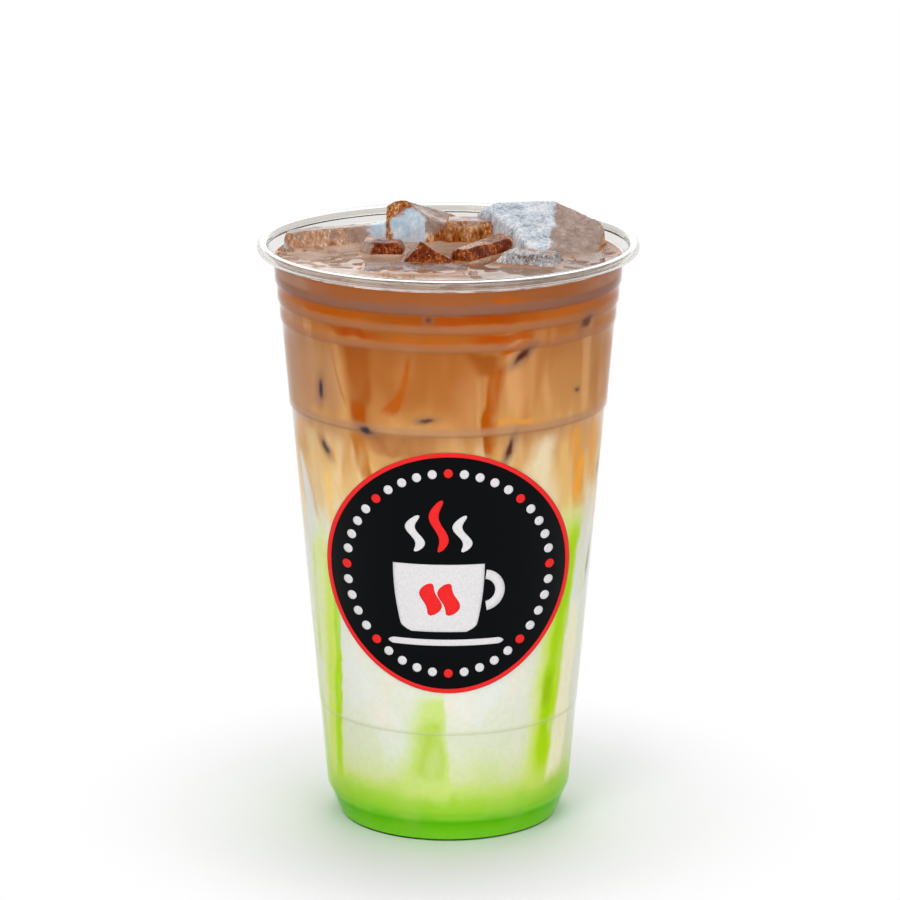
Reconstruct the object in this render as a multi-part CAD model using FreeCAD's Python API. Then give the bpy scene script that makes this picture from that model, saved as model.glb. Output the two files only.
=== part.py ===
"""Iced caramel macchiato in a clear disposable cup.

The cup is one sheet of plastic: a raised floor, a foot, a tapered wall with stacking ledges and a rim curled
outwards. The drink fills it in layers, from green syrup at the foot through milk to coffee, and blocks of ice
stand out of its surface. All lengths are in millimetres. The origin is the middle of the cup's foot, on the
table, and +Z is up. The cup's front is towards -Y.
"""
import FreeCAD, Part
import math
import os
from FreeCAD import Placement, Rotation, Vector

# Cup: overall sizes
cup_height = 153.0
rim_radius = 49.0              # outside of the curled rim
foot_radius = 28.2             # inside of the foot, at the table
sheet = 0.5                    # thickness of the plastic

# Cup: foot and floor
floor_height = 5.2             # top of the raised floor
floor_slope = 2.6              # how far in the floor rises from the foot's ring
foot_ring_width = 2.6          # flat ring that stands on the table
foot_height = 5.6
foot_flare = 1.9               # how far the foot widens over its height
shoulder_height = 8.6
shoulder_width = 1.3           # how far the shoulder stands out over the foot
floor_rounding = 1.2
foot_rounding = 0.7
shoulder_rounding = 0.9

# Cup: ledges, where the wall steps out and stays upright for a band before it tapers again
foot_ledge_height = 31.0
foot_ledge_step = 0.10
foot_ledge_band = 0.8
middle_ledge_depth = 42.0      # under the top of the rim
middle_ledge_step = 0.40
top_ledge_depth = 9.8          # under the top of the rim
top_ledge_spacing = 4.95
top_ledge_count = 3
top_ledge_step = 0.22
ledge_band = 2.4
ledge_slope = 0.5              # height over which a ledge steps out
ledge_rounding = 0.12

# Cup: rim
curl_radius = 1.4              # outside of the curl's section
curl_turn = 270.0              # degrees that the sheet turns in the curl
flare_depth = 3.8              # the wall starts to widen to the curl this far under the top
flare_width = 1.8
flare_straight = 0.6           # upright stretch just before the curl
flare_rounding = 1.0

# Drink
headspace = 4.8                # from the top of the rim down to the surface
coffee_depth = 36.2            # brown coffee, from the surface down
latte_depth = 26.0             # coffee and milk mixed, under it
syrup_top = 15.5               # green syrup, from the table up; the milk fills the rest

# Ice
ice_wall_gap = 0.4             # between the ice and the wall
ice_depth = 13.0               # no block of ice reaches further under the surface
ice_bevel = 1.3                # mean width of the worn edges
ice_bevel_change = 0.45        # how much that width varies, as a share of it
cutter_size = 90.0             # larger than any block of ice, to cut one by a plane

wall_base_radius = foot_radius + foot_flare + shoulder_width    # inside of the wall, over the shoulder
curl_centre_radius = rim_radius - curl_radius
curl_centre_height = cup_height - curl_radius
flare_top_radius = curl_centre_radius - curl_radius
flare_base = cup_height - flare_depth
surface_height = cup_height - headspace

# Each ledge as its height, the width of its step and the height of its band, from the foot up
ledges = [
    (foot_ledge_height, foot_ledge_step, foot_ledge_band),
    (cup_height - middle_ledge_depth, middle_ledge_step, ledge_band),
]
for number in reversed(range(top_ledge_count)):
    ledges.append((cup_height - top_ledge_depth - number * top_ledge_spacing, top_ledge_step, ledge_band))

wall_gain = flare_top_radius - flare_width - wall_base_radius - sum(step for base, step, band in ledges)
wall_taper = wall_gain / (flare_base - shoulder_height)         # radius gained for each millimetre of height


def wall_radius(height):
    """Inside radius of the wall, which tapers and steps out at each ledge below that height."""
    steps = sum(step for base, step, band in ledges if base < height)
    return wall_base_radius + wall_taper * (height - shoulder_height) + steps


mouth_radius = wall_radius(surface_height)

# Ice blocks: place as two shares of the mouth's radius and a height over the surface, size, turn about the
# vertical, and the broken facets, each as the azimuth and tilt of its normal and its distance from the middle
ice_blocks = {
    "ice_back_right": ((0.56, 0.26, -2.0), (37, 28, 26), 0,
                       [(-101, 17.5, 7.6), (-63, 23, 7.1), (-90, 28, 7.0), (-147, 80, 8.4), (180, 32, 16.5),
                        (45, 42, 16.4), (-15, 80, 15.2)]),
    "ice_back_left": ((-0.15, 0.547, 0.0), (19, 14, 24), 0,
                      [(-20, 29, 7.1), (170, 30, 12.1), (90, 40, 8.0), (-110, 50, 8.1), (-60, 75, 7.0)]),
    "ice_left": ((-0.63, 0.41, -2.4), (36, 8, 14), 23,
                 [(-67, 70, 4.7), (200, 60, 17.0), (113, 35, 6.6)]),
    "ice_back": ((0.13, 0.49, -1.0), (16, 10, 14), 3,
                 [(-80, 60, 7.0), (0, 45, 8.8), (180, 60, 8.4), (90, 40, 7.2)]),
    "ice_centre": ((0.22, 0.12, -3.0), (26, 8, 13), 58,
                   [(-40, 60, 5.6), (148, 40, 6.2)]),
    "ice_centre_left": ((-0.385, 0.14, -3.0), (11.5, 9, 12.8), -10,
                        [(-90, 55, 5.6), (-140, 60, 6.4)]),
    "ice_peak": ((-0.13, -0.07, -2.0), (16, 11, 15), 0,
                 [(-95, 57, 5.0), (35, 42, 4.5), (175, 50, 5.75)]),
    "ice_front_right": ((0.47, -0.15, -3.2), (20, 12, 12.4), -25,
                        [(-110, 50, 5.6), (-20, 55, 8.4), (150, 60, 8.4)]),
    "ice_front": ((-0.20, -0.34, -5.2), (28, 14, 12.4), -4,
                  [(-90, 8, 6.0), (-140, 80, 12.0), (20, 30, 12.0)]),
}


def inner_corners():
    """Corners of the sheet's inner face as (radius, height, rounding), from the middle of the floor to the curl."""
    ring_radius = foot_radius - foot_ring_width
    corners = [
        (0, floor_height, 0),
        (ring_radius - floor_slope, floor_height, floor_rounding),
        (ring_radius, sheet, foot_rounding),
        (foot_radius, sheet, foot_rounding),
        (foot_radius + foot_flare, foot_height, foot_rounding),
        (wall_base_radius, shoulder_height, shoulder_rounding),
    ]
    for base, step, band in ledges:
        corners.append((wall_radius(base), base, ledge_rounding))
        corners.append((wall_radius(base + band), base + ledge_slope, ledge_rounding))
        corners.append((wall_radius(base + band), base + band, ledge_rounding))
    corners += [
        (wall_radius(flare_base), flare_base, flare_rounding),
        (flare_top_radius, curl_centre_height - flare_straight, flare_rounding),
        (flare_top_radius, curl_centre_height, 0),
    ]
    return corners


def unit(start, end):
    """Direction from one (radius, height) corner to another."""
    across, up = end[0] - start[0], end[1] - start[1]
    length = math.hypot(across, up)
    return across / length, up / length


def outer_corners(corners):
    """The same corners, moved by the sheet's thickness to the face away from the drink."""
    last = len(corners) - 1
    moved = []
    for i, (radius, height, rounding) in enumerate(corners):
        before = unit(corners[max(i - 1, 0)], corners[max(i, 1)])
        after = unit(corners[min(i, last - 1)], corners[min(i + 1, last)])
        scale = sheet / (1 + before[0] * after[0] + before[1] * after[1])
        out = scale * (before[1] + after[1])
        down = scale * (before[0] + after[0])
        moved.append((radius + out, height - down, rounding))
    return moved


def point(radius, height):
    return Vector(radius, 0, height)


def line(start, end):
    return Part.LineSegment(start, end).toShape()


def rounded_edges(corners):
    """Straight edges through the corners, with each inner corner turned by an arc of its rounding."""
    edges = []
    start = point(*corners[0][:2])
    for before, corner, after in zip(corners, corners[1:], corners[2:]):
        here = point(*corner[:2])
        back = (point(*before[:2]) - here).normalize()
        ahead = (point(*after[:2]) - here).normalize()
        half = back.getAngle(ahead) / 2
        rounding = corner[2]
        arc_start = here + back * (rounding / math.tan(half))
        arc_end = here + ahead * (rounding / math.tan(half))
        arc_middle = here + (back + ahead).normalize() * (rounding / math.sin(half) - rounding)
        edges.append(line(start, arc_start))
        edges.append(Part.Arc(arc_start, arc_middle, arc_end).toShape())
        start = arc_end
    edges.append(line(start, point(*corners[-1][:2])))
    return edges


def curl_point(radius, turned):
    """A point of the curl's section, which starts at its inner side and turns over the top."""
    angle = math.radians(180 - turned)
    return point(curl_centre_radius + radius * math.cos(angle), curl_centre_height + radius * math.sin(angle))


def curl_arc(radius):
    return Part.Arc(curl_point(radius, 0), curl_point(radius, curl_turn / 2), curl_point(radius, curl_turn)).toShape()


def revolved(edges):
    """The solid that a closed section makes when it turns round the cup's axis."""
    face = Part.Face(Part.Wire(Part.__sortEdges__(edges)))
    return face.revolve(Vector(0, 0, 0), Vector(0, 0, 1), 360)


def make_cup():
    inner = inner_corners()
    outer = outer_corners(inner)
    edges = rounded_edges(inner) + rounded_edges(outer)
    edges += [curl_arc(curl_radius), curl_arc(curl_radius - sheet)]
    edges.append(line(curl_point(curl_radius, curl_turn), curl_point(curl_radius - sheet, curl_turn)))
    edges.append(line(point(*inner[0][:2]), point(*outer[0][:2])))
    return revolved(edges)


def make_inside():
    """Everything inside the cup, up to the start of the curl."""
    inner = inner_corners()
    edges = rounded_edges(inner)
    edges.append(line(point(flare_top_radius, curl_centre_height), point(0, curl_centre_height)))
    edges.append(line(point(0, curl_centre_height), point(0, floor_height)))
    return revolved(edges)


def make_drink(ice):
    """The drink's layers by name, each filling the cup from wall to wall, with the ice left out of the coffee."""
    inside = make_inside()
    latte_top = surface_height - coffee_depth
    milk_top = latte_top - latte_depth
    heights = {
        "syrup_layer": (0, syrup_top),
        "milk_layer": (syrup_top, milk_top),
        "latte_layer": (milk_top, latte_top),
        "coffee_layer": (latte_top, surface_height),
    }
    layers = {}
    for name, (low, high) in heights.items():
        disc = Part.makeCylinder(rim_radius, high - low, Vector(0, 0, low))
        layers[name] = inside.common(disc)
    for block in ice.values():
        layers["coffee_layer"] = layers["coffee_layer"].cut(block)
    return layers


def direction(azimuth, tilt):
    """Unit vector at an azimuth from +X, tilted by that many degrees from straight up."""
    turned, tipped = math.radians(azimuth), math.radians(tilt)
    return Vector(math.sin(tipped) * math.cos(turned), math.sin(tipped) * math.sin(turned), math.cos(tipped))


def beyond(normal, distance):
    """The space on the far side of a plane at that distance from the origin."""
    space = Part.makeBox(cutter_size, cutter_size, cutter_size, Vector(-cutter_size / 2, -cutter_size / 2, 0))
    space.Placement = Placement(normal * distance, Rotation(Vector(0, 0, 1), normal))
    return space


def worn_edges(size, seed):
    """Planes that bevel the twelve edges of a block, each by a width of its own."""
    planes = []
    for first, second in ((0, 1), (0, 2), (1, 2)):
        for first_side, second_side in ((1, 1), (1, -1), (-1, 1), (-1, -1)):
            change = math.sin(seed * 2.7 + len(planes) * 1.9)
            width = ice_bevel * (1 + ice_bevel_change * change)
            normal = [0, 0, 0]
            normal[first], normal[second] = first_side, second_side
            distance = (size[first] / 2 + size[second] / 2 - width) / math.sqrt(2)
            planes.append((Vector(*normal).normalize(), distance))
    return planes


def make_ice_block(seed, place, size, turn, facets):
    """A block of ice in its place, worn along its edges and broken along its facets."""
    length, width, height = size
    block = Part.makeBox(length, width, height, Vector(-length / 2, -width / 2, -height / 2))
    for normal, distance in worn_edges(size, seed):
        block = block.cut(beyond(normal, distance))
    block.rotate(Vector(0, 0, 0), Vector(0, 0, 1), turn)
    for azimuth, tilt, distance in facets:
        block = block.cut(beyond(direction(azimuth, tilt), distance))
    across, back, lift = place
    block.translate(Vector(across * mouth_radius, back * mouth_radius, surface_height + lift))
    return block


def make_ice():
    """The blocks of ice by name. One that meets the wall or an earlier block has melted against it."""
    base = surface_height - ice_depth
    base_radius = wall_radius(base) - ice_wall_gap
    room = Part.makeCone(base_radius, base_radius + wall_taper * cutter_size, cutter_size, Vector(0, 0, base))
    made = {}
    for seed, (name, (place, size, turn, facets)) in enumerate(ice_blocks.items()):
        block = make_ice_block(seed, place, size, turn, facets).common(room)
        for earlier in made.values():
            block = block.cut(earlier)
        made[name] = block
    return made


def main():
    os.makedirs("parts", exist_ok=True)
    ice = make_ice()
    nodes = {"cup": make_cup(), **make_drink(ice), **ice}
    for name, shape in nodes.items():
        print(name, "solids:", len(shape.Solids), "valid:", shape.isValid(), "ml:", round(shape.Volume / 1000, 2))
        solid = shape.Solids[0] if len(shape.Solids) == 1 else shape
        solid.exportStep("parts/" + name + ".step")


main()
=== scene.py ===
"""Looks of an iced caramel macchiato in a clear cup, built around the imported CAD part.

Each CAD node gets a finer piece in its place: the cup a lathed clear one, the drink's layers ones that reach
just into the wall, and the ice worn, frosted blocks. Froth and a printed badge come on top.
Lengths in tables are in millimetres. Angles are in degrees round the cup's axis: 0 is the front, + is right.
"""
import math
import random

import bpy
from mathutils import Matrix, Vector, noise
from mathutils.bvhtree import BVHTree


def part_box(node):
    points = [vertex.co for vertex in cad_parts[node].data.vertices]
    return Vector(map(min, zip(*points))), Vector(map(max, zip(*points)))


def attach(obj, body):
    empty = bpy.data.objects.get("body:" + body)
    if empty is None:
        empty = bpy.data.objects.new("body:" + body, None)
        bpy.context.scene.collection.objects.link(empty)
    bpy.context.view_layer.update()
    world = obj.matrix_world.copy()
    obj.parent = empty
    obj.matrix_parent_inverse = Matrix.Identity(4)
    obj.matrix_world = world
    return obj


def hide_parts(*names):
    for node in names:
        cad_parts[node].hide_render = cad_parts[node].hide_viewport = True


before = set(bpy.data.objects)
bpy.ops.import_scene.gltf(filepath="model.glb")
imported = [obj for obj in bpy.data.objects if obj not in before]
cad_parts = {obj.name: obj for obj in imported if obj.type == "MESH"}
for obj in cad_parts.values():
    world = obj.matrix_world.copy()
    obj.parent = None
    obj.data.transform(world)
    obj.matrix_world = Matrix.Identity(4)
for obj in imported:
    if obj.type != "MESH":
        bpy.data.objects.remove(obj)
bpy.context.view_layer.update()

MM = 0.001
REACH = 0.15 * MM  # how far the drink reaches into the cup's wall
SEGMENTS = 480  # round the cup and the drink
SURFACE_RINGS = 130  # from the drink's middle to the wall
CUP_STEP = 0.12 * MM  # least distance between the points of the cup's section, and of the drink's
DRINK_STEP = 0.2 * MM
CLIMB = 0.9 * MM  # how far the drink is drawn up the wall
FOOT_ZONE = 6 * MM  # a section that ends under this height ends on the cup's raised floor
BADGE_HEIGHT = 74.7  # the badge's middle
BADGE_RADIUS = 31.0
BADGE_STRETCH = 1.045  # upright, so that it looks round from above
DOTS, DOT_CIRCLE, DOT_RADIUS = 40, 25.8, 1.15  # the badge's ring of dots
INK_THICKNESS = 0.03 * MM
FROTH_CLUSTERS = 40  # groups of tiny bubbles
BUBBLES = 80  # flat bubbles on the surface
SWELL = [(90, 0.22, 3.0), (260, 0.14, 7.0)]  # swell and ripples, as: noise scale, height, shift
WELD_DISTANCE = 0.002 * MM  # points closer than this become one
ICE_GRID = 0.45 * MM  # mesh size of the ice
ICE_DENTS = [(220, 0.30), (700, 0.12)]  # noise scale, depth
ICE_WORN = 0.12  # how much is worn off everywhere
WALL_VEIL = 0.014  # light that the wall's two faces reflect towards the eye

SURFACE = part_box("coffee_layer")[1].z
DRY_FROM = SURFACE + 1.0 * MM  # the cup is dry above this
TURNS = [n * 2 * math.pi / SEGMENTS for n in range(SEGMENTS)]


# -------- shader helpers

def linear(red, green, blue):
    """A colour given as sRGB numbers up to 255, as the linear colour that shaders take."""
    parts = (red, green, blue)
    return tuple(((c / 255 + 0.055) / 1.055) ** 2.4 if c > 10 else c / 3295 for c in parts) + (1.0,)


def through_wall(red, green, blue):
    """The colour that looks like this one through the wall, whose reflections add a pale veil."""
    return tuple(max(c - WALL_VEIL, 0.001) / (1 - WALL_VEIL) for c in linear(red, green, blue)[:3]) + (1.0,)


class Graph:
    """The nodes of one material or node group. Values are numbers, colours or other nodes' outputs."""

    def __init__(self, tree):
        self.tree = tree

    def node(self, kind, *values, **settings):
        made = self.tree.nodes.new("ShaderNode" + kind)
        for key, value in settings.items():
            setattr(made, key, value)
        for place, value in enumerate(values):
            self.feed(made.inputs[place], value)
        return made

    def feed(self, socket, value):
        if value is None:
            return
        if isinstance(value, bpy.types.NodeSocket):
            self.tree.links.new(value, socket)
        else:
            socket.default_value = value

    def give(self, **values):
        """Sets or links the Principled shader's own sockets."""
        for key, value in values.items():
            self.feed(self.shader.inputs[key.replace("_", " ")], value)

    def place(self):
        return self.node("TexCoord").outputs["Object"]

    def maths(self, operation, *values, clamp=False):
        return self.node("Math", *values, operation=operation, use_clamp=clamp).outputs[0]

    def times(self, first, second, clamp=False):
        return self.maths("MULTIPLY", first, second, clamp=clamp)

    def remap(self, value, low, high, to_low=0.0, to_high=1.0, smooth=True):
        kind = "SMOOTHSTEP" if smooth else "LINEAR"
        return self.node("MapRange", value, low, high, to_low, to_high, interpolation_type=kind).outputs[0]

    def blend(self, share, first, last):
        """The number that lies this share of the way from the first to the last."""
        return self.remap(share, 0.0, 1.0, first, last, smooth=False)

    def mix(self, share, first, second):
        made = self.node("Mix", data_type="RGBA")
        self.feed(made.inputs["Factor"], share)
        self.feed(made.inputs["A"], first)
        self.feed(made.inputs["B"], second)
        return made.outputs["Result"]

    def brightened(self, colour, share, saturation=1.0):
        return self.node("HueSaturation", 0.5, saturation, share, 1.0, colour).outputs[0]

    def noise(self, place, scale, detail=2.0, roughness=0.5):
        return self.node("TexNoise", place, None, scale, detail, roughness).outputs["Fac"]

    def ramp(self, value, stops):
        """A colour ramp with stops as {position: colour}."""
        made = self.node("ValToRGB", value)
        elements = made.color_ramp.elements
        elements.remove(elements[1])
        for number, (position, colour) in enumerate(sorted(stops.items())):
            element = elements.new(position) if number else elements[0]
            element.position, element.color = position, colour
        return made.outputs["Color"]


def material(name, **constants):
    """A new material's graph, with numbers set on its Principled shader's own sockets."""
    made = bpy.data.materials.new(name)
    made.use_nodes = True
    graph = Graph(made.node_tree)
    graph.material = made
    graph.shader = made.node_tree.nodes["Principled BSDF"]
    graph.give(**constants)
    return graph


def streak_group():
    """A mask for a streak on the wall: a band between two points given by angle and height.

    Each of its sides has its own softness, and its width and its sideways bend change along it.
    """
    tree = bpy.data.node_groups.new("streak", "ShaderNodeTree")
    names = ["Angle", "Height", "Top Angle", "Top Height", "Bottom Angle", "Bottom Height", "Bend",
             "Top Width", "Bottom Width", "Left Softness", "Right Softness", "Fade", "Millimetres"]
    for name in names:
        tree.interface.new_socket(name=name, in_out="INPUT", socket_type="NodeSocketFloat")
    tree.interface.new_socket(name="Mask", in_out="OUTPUT", socket_type="NodeSocketFloat")
    graph = Graph(tree)
    given = dict(zip(names, tree.nodes.new("NodeGroupInput").outputs))
    along = graph.remap(given["Height"], given["Top Height"], given["Bottom Height"], smooth=False)
    back = graph.maths("SUBTRACT", 1.0, along)
    centre = graph.blend(along, given["Top Angle"], given["Bottom Angle"])
    arch = graph.times(graph.times(along, back), graph.times(given["Bend"], 4.0))
    aside = graph.maths("SUBTRACT", graph.maths("SUBTRACT", given["Angle"], centre), arch)
    aside = graph.times(aside, given["Millimetres"])
    width = graph.blend(along, given["Top Width"], given["Bottom Width"])
    right = graph.maths("DIVIDE", graph.maths("SUBTRACT", width, aside), given["Right Softness"])
    left = graph.maths("DIVIDE", graph.maths("ADD", width, aside), given["Left Softness"])
    sides = graph.times(graph.remap(right, -1.0, 1.0), graph.remap(left, -1.0, 1.0))
    ends = graph.times(graph.remap(along, 0.0, given["Fade"]), graph.remap(back, 0.0, given["Fade"]))
    mask = graph.times(sides, ends)
    tree.links.new(mask, tree.nodes.new("NodeGroupOutput").inputs[0])
    return tree


# -------- the drink's colours

# Colours down the side, by height. At the foot the darker green under the step is partly painted shade, the
# bright green at the very bottom is a painted highlight, and the foot's greens are painted brighter for the
# little light that reaches it.
SIDE_COLOURS = {
    0: (130, 226, 44), 1: (122, 200, 54), 3.5: (112, 188, 40), 5.8: (88, 178, 12), 6.6: (128, 198, 56),
    9: (142, 196, 58), 12: (160, 199, 72), 15: (186, 206, 112), 17.5: (198, 208, 150),
    25: (203, 209, 178), 32: (207, 211, 190), 42: (211, 213, 199), 70: (211, 213, 200),
    80: (211, 205, 183), 86: (216, 200, 166), 92: (216, 190, 144), 98: (210, 174, 118),
    104: (199, 154, 98), 110.5: (187, 138, 88), 114.5: (189, 139, 84), 120: (182, 130, 79),
    127: (177, 123, 74), 133: (170, 112, 64), 138: (167, 102, 52), 142.6: (163, 91, 41),
    144: (144, 96, 74), 145.2: (148, 90, 58), 149: (152, 90, 54),
}

# Streaks as: colour, strength, (angle, height) of the top, the same of the bottom, bend,
# half-widths at the top and bottom, softness at the left and right, and how much of each end fades
STREAKS = [
    # wide brown in the middle, tan beside it
    ((158, 95, 48), 0.75, (-12, 146), (-12, 112), 0, 17, 12, 6, 6, 0.3),
    ((172, 128, 92), 0.75, (-52, 134), (-50, 112), 0, 6, 6, 3, 2, 0.2),
    ((172, 114, 66), 0.6, (-25, 126), (-26, 111), 0, 1.5, 3, 1.5, 2, 0.3),
    ((174, 118, 72), 0.7, (5, 127), (6, 109), 0, 3, 4.5, 3, 0.7, 0.25),
    ((162, 126, 104), 0.6, (-78, 142), (-72, 108), 0, 14, 10, 6, 6, 0.12),
    ((166, 108, 54), 0.7, (80, 142), (76, 112), 0, 12, 8, 6, 6, 0.12),
    ((166, 130, 110), 0.6, (-70, 149.5), (-66, 143), 0, 16, 12, 8, 8, 0.2),
    ((166, 128, 106), 0.55, (70, 149.5), (66, 143), 0, 14, 12, 8, 8, 0.2),
    # an orange dash under the rim, a painted glint
    ((178, 90, 26), 0.6, (20, 147.2), (20, 145), 0, 4.6, 4.6, 1, 1, 0.3),
    # orange between the ledges
    ((166, 84, 24), 0.9, (-44, 143.4), (-44, 139.6), 0, 14, 8, 5, 4, 0.25),
    ((152, 78, 34), 0.8, (-14, 143.4), (-14, 140), 0, 9, 8, 5, 4, 0.25),
    ((158, 72, 15), 0.9, (12, 143.4), (12, 140.2), 0, 13, 13, 4, 6, 0.2),
    ((172, 94, 42), 0.6, (44, 143.6), (44, 139.8), 0, 9, 9, 5, 5, 0.2),
    ((160, 72, 14), 0.95, (-33, 138.4), (-33, 135.4), 0, 9, 5.5, 4, 4, 0.25),
    ((170, 92, 40), 0.7, (-8, 138.4), (-8, 134.6), 0, 9, 9, 4, 4, 0.25),
    ((168, 78, 14), 0.9, (17, 138.7), (17, 135.8), 0, 7.5, 8.5, 4, 3, 0.2),
    ((180, 90, 20), 0.9, (24, 135.4), (24, 133.2), 0, 5, 5, 1, 1, 0.2),
    ((206, 142, 68), 0.75, (25, 115.6), (24, 113.4), 0, 4.8, 4.8, 0.8, 0.8, 0.25),
    # brown and orange threads
    ((150, 80, 38), 0.78, (-32.5, 136), (-33.2, 111), 0, 4.6, 1.7, 2.2, 1.2, 0.14),
    ((162, 78, 22), 0.8, (-33.2, 118.5), (-33.2, 112.5), 0, 1.4, 1.8, 0.7, 0.7, 0.3),
    ((150, 92, 54), 0.4, (-44.5, 132.8), (-38, 115.5), -1, 0.3, 0.6, 0.5, 0.5, 0.2),
    ((170, 84, 22), 0.8, (-12.8, 133), (-24.2, 115), 2.4, 0.4, 2, 0.6, 0.8, 0.2),
    ((178, 114, 54), 0.9, (-35.5, 111.4), (-30.5, 97), 0, 2.4, 2, 0.8, 0.8, 0.15),
    ((146, 74, 32), 0.7, (9, 134.6), (14, 126), 0, 4.5, 2, 2.5, 2, 0.25),
    ((162, 82, 24), 0.95, (16.4, 131), (15.8, 103.5), -1.2, 2.1, 1.1, 0.4, 1.3, 0.14),
    # cream and orange under the middle ledge
    ((162, 104, 64), 0.85, (-20, 112.2), (-16, 104.5), 0, 10, 6, 4, 4, 0.25),
    ((208, 176, 128), 0.7, (-60, 110), (-58, 84), 0, 3, 3, 2, 2, 0.2),
    ((229, 186, 108), 0.7, (-51.5, 101), (-49.5, 80), 0, 1.6, 1.3, 1, 1, 0.25),
    ((205, 208, 208), 0.9, (-73, 101), (-64.5, 76), 0, 1.6, 2.6, 0.8, 0.8, 0.15),
    ((188, 156, 134), 0.6, (-66, 98), (-60.5, 82), 0, 0.9, 1.1, 0.8, 0.8, 0.25),
    ((218, 202, 168), 0.9, (40, 112), (31, 90), 0, 2.4, 5.2, 2.8, 2.6, 0.2),
    ((216, 174, 108), 0.8, (48, 110), (50, 86), 0, 1.8, 2.4, 1.4, 1.4, 0.2),
    ((214, 150, 66), 0.85, (54, 113), (61, 86), 0, 2.2, 3.8, 1.4, 1.4, 0.15),
    ((232, 156, 48), 0.85, (61, 103), (56.5, 90), 0, 1.3, 2, 1.2, 1.2, 0.25),
    ((214, 150, 62), 0.8, (67, 114), (72, 90), 0, 3, 3.2, 1.6, 1.6, 0.2),
    # green syrup in the milk
    ((204, 216, 120), 0.75, (-60, 88), (-64, 12), 0, 3.4, 4.6, 2.4, 2.4, 0.18),
    ((192, 212, 84), 0.8, (-54.5, 82), (-66.5, 10), 2, 2.2, 4.2, 1.8, 1.4, 0.14),
    ((163, 204, 18), 0.97, (-51.5, 76), (-63, 11), 2.6, 1.4, 1.6, 0.8, 0.45, 0.07),
    ((190, 212, 90), 0.8, (-66.5, 80), (-72, 42), -1.5, 1, 1.6, 0.9, 0.9, 0.2),
    ((200, 214, 100), 0.8, (57, 94), (45, 9), -1, 5.2, 5.2, 3, 1.2, 0.16),
    ((174, 207, 40), 0.92, (60, 90), (46, 10), -1.2, 4.2, 3, 2.6, 0.8, 0.16),
    ((160, 202, 12), 0.95, (62, 86), (46.2, 14), -2.4, 2.2, 1.6, 1.4, 0.8, 0.16),
    ((142, 176, 10), 0.65, (49.5, 46), (47.4, 33), 0, 1.9, 1.6, 1.2, 0.8, 0.3),
    ((205, 222, 110), 0.7, (70, 76), (70, 60), 0, 0.6, 0.9, 0.5, 0.5, 0.25),
    ((228, 222, 188), 0.85, (66, 64), (58, 12), 0, 2.6, 3.8, 1, 1.2, 0.1),
    ((188, 209, 116), 0.85, (-7, 44), (-11.5, 10), 0, 3, 7.5, 3, 0.25, 0.16),
    ((166, 194, 74), 0.75, (-6, 36), (-9.5, 16), 0, 2.2, 4.6, 2.2, 0.7, 0.22),
]

# Wisps hanging in the drink, as: colour, strength, lowest and highest place, fade, noise scale, its upright
# share, its shift, where the noise starts and ends to show, and whether only on the sides and back
CURTAINS = [
    ((214, 164, 112), 0.45, 110, 134, 8, 150, 0.22, 1.1, 0.5, 0.68, False),
    ((160, 92, 44), 0.4, 112, 136, 8, 130, 0.18, 2.3, 0.54, 0.7, False),
    ((236, 226, 196), 0.3, 84, 104, 9, 170, 0.25, 3.7, 0.5, 0.66, False),
    ((226, 168, 84), 0.3, 84, 106, 7, 190, 0.25, 4.1, 0.56, 0.7, False),
    ((216, 222, 230), 0.3, 26, 80, 9, 90, 0.5, 5.9, 0.5, 0.66, False),
    ((222, 211, 194), 0.4, 27, 70, 10, 120, 0.4, 6.3, 0.52, 0.68, False),
    ((172, 202, 96), 0.25, 8, 18, 8, 110, 0.4, 7.7, 0.48, 0.66, False),
    ((178, 92, 28), 0.75, 136, 143, 3, 60, 0.3, 8.1, 0.42, 0.58, True),
    ((176, 100, 44), 0.7, 104, 136, 12, 120, 0.12, 9.9, 0.58, 0.68, True),
    ((206, 182, 140), 0.6, 84, 108, 10, 130, 0.2, 10.3, 0.5, 0.64, True),
    ((192, 212, 90), 0.85, 6, 46, 36, 105, 0.045, 11.7, 0.5, 0.66, True),
    ((163, 204, 24), 0.9, 6, 40, 34, 105, 0.045, 11.7, 0.58, 0.7, True),
]

# Sunk ice that touches the wall, as: angle, height, half its length, half its width, tilt and darkness
SUNK_ICE = [
    (-50.8, 120.2, 3, 1.3, 80, 1), (-51.4, 104.6, 2.5, 1.05, -48, 0.9), (-30.5, 111.6, 2.2, 1, -12, 1),
    (-7.7, 115.5, 2.3, 0.75, 8, 0.85), (-6.7, 142, 0.9, 1.2, 0, 0.6), (25.6, 131.6, 3.3, 1.15, 40, 1),
    (53.5, 137.6, 2.4, 1.9, 25, 0.85), (51.3, 119.9, 0.9, 0.7, 0, 0.7), (22.6, 107.2, 3.3, 0.95, 72, 1),
    (79, 95.5, 3, 1.2, 75, 0.6), (76, 70, 4, 1, 80, 0.5), (104, 124, 2.6, 0.9, 50, 0.9),
    (128, 108, 2.2, 0.8, -30, 0.8), (163, 131, 3, 1, 25, 0.9), (-171, 101, 2.4, 0.9, 70, 0.8),
    (-104, 112, 2.6, 0.8, -65, 0.8), (-139, 127, 2, 1.1, 15, 0.9), (-88, 133, 1.6, 0.9, 40, 0.7),
]

# Bands of the ledges, where the plastic greys the drink, as painted reflection and shade: height of the foot
# and top, colour and strength
LEDGE_STRIPES = [
    (143.2, 145.9, (136, 94, 76), 1), (138.3, 140.6, (158, 106, 76), 0.75),
    (133.4, 135.7, (160, 108, 78), 0.7), (111.2, 113.6, (166, 126, 96), 0.7),
    (30.6, 31.4, (190, 200, 150), 0.5),
]

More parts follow.
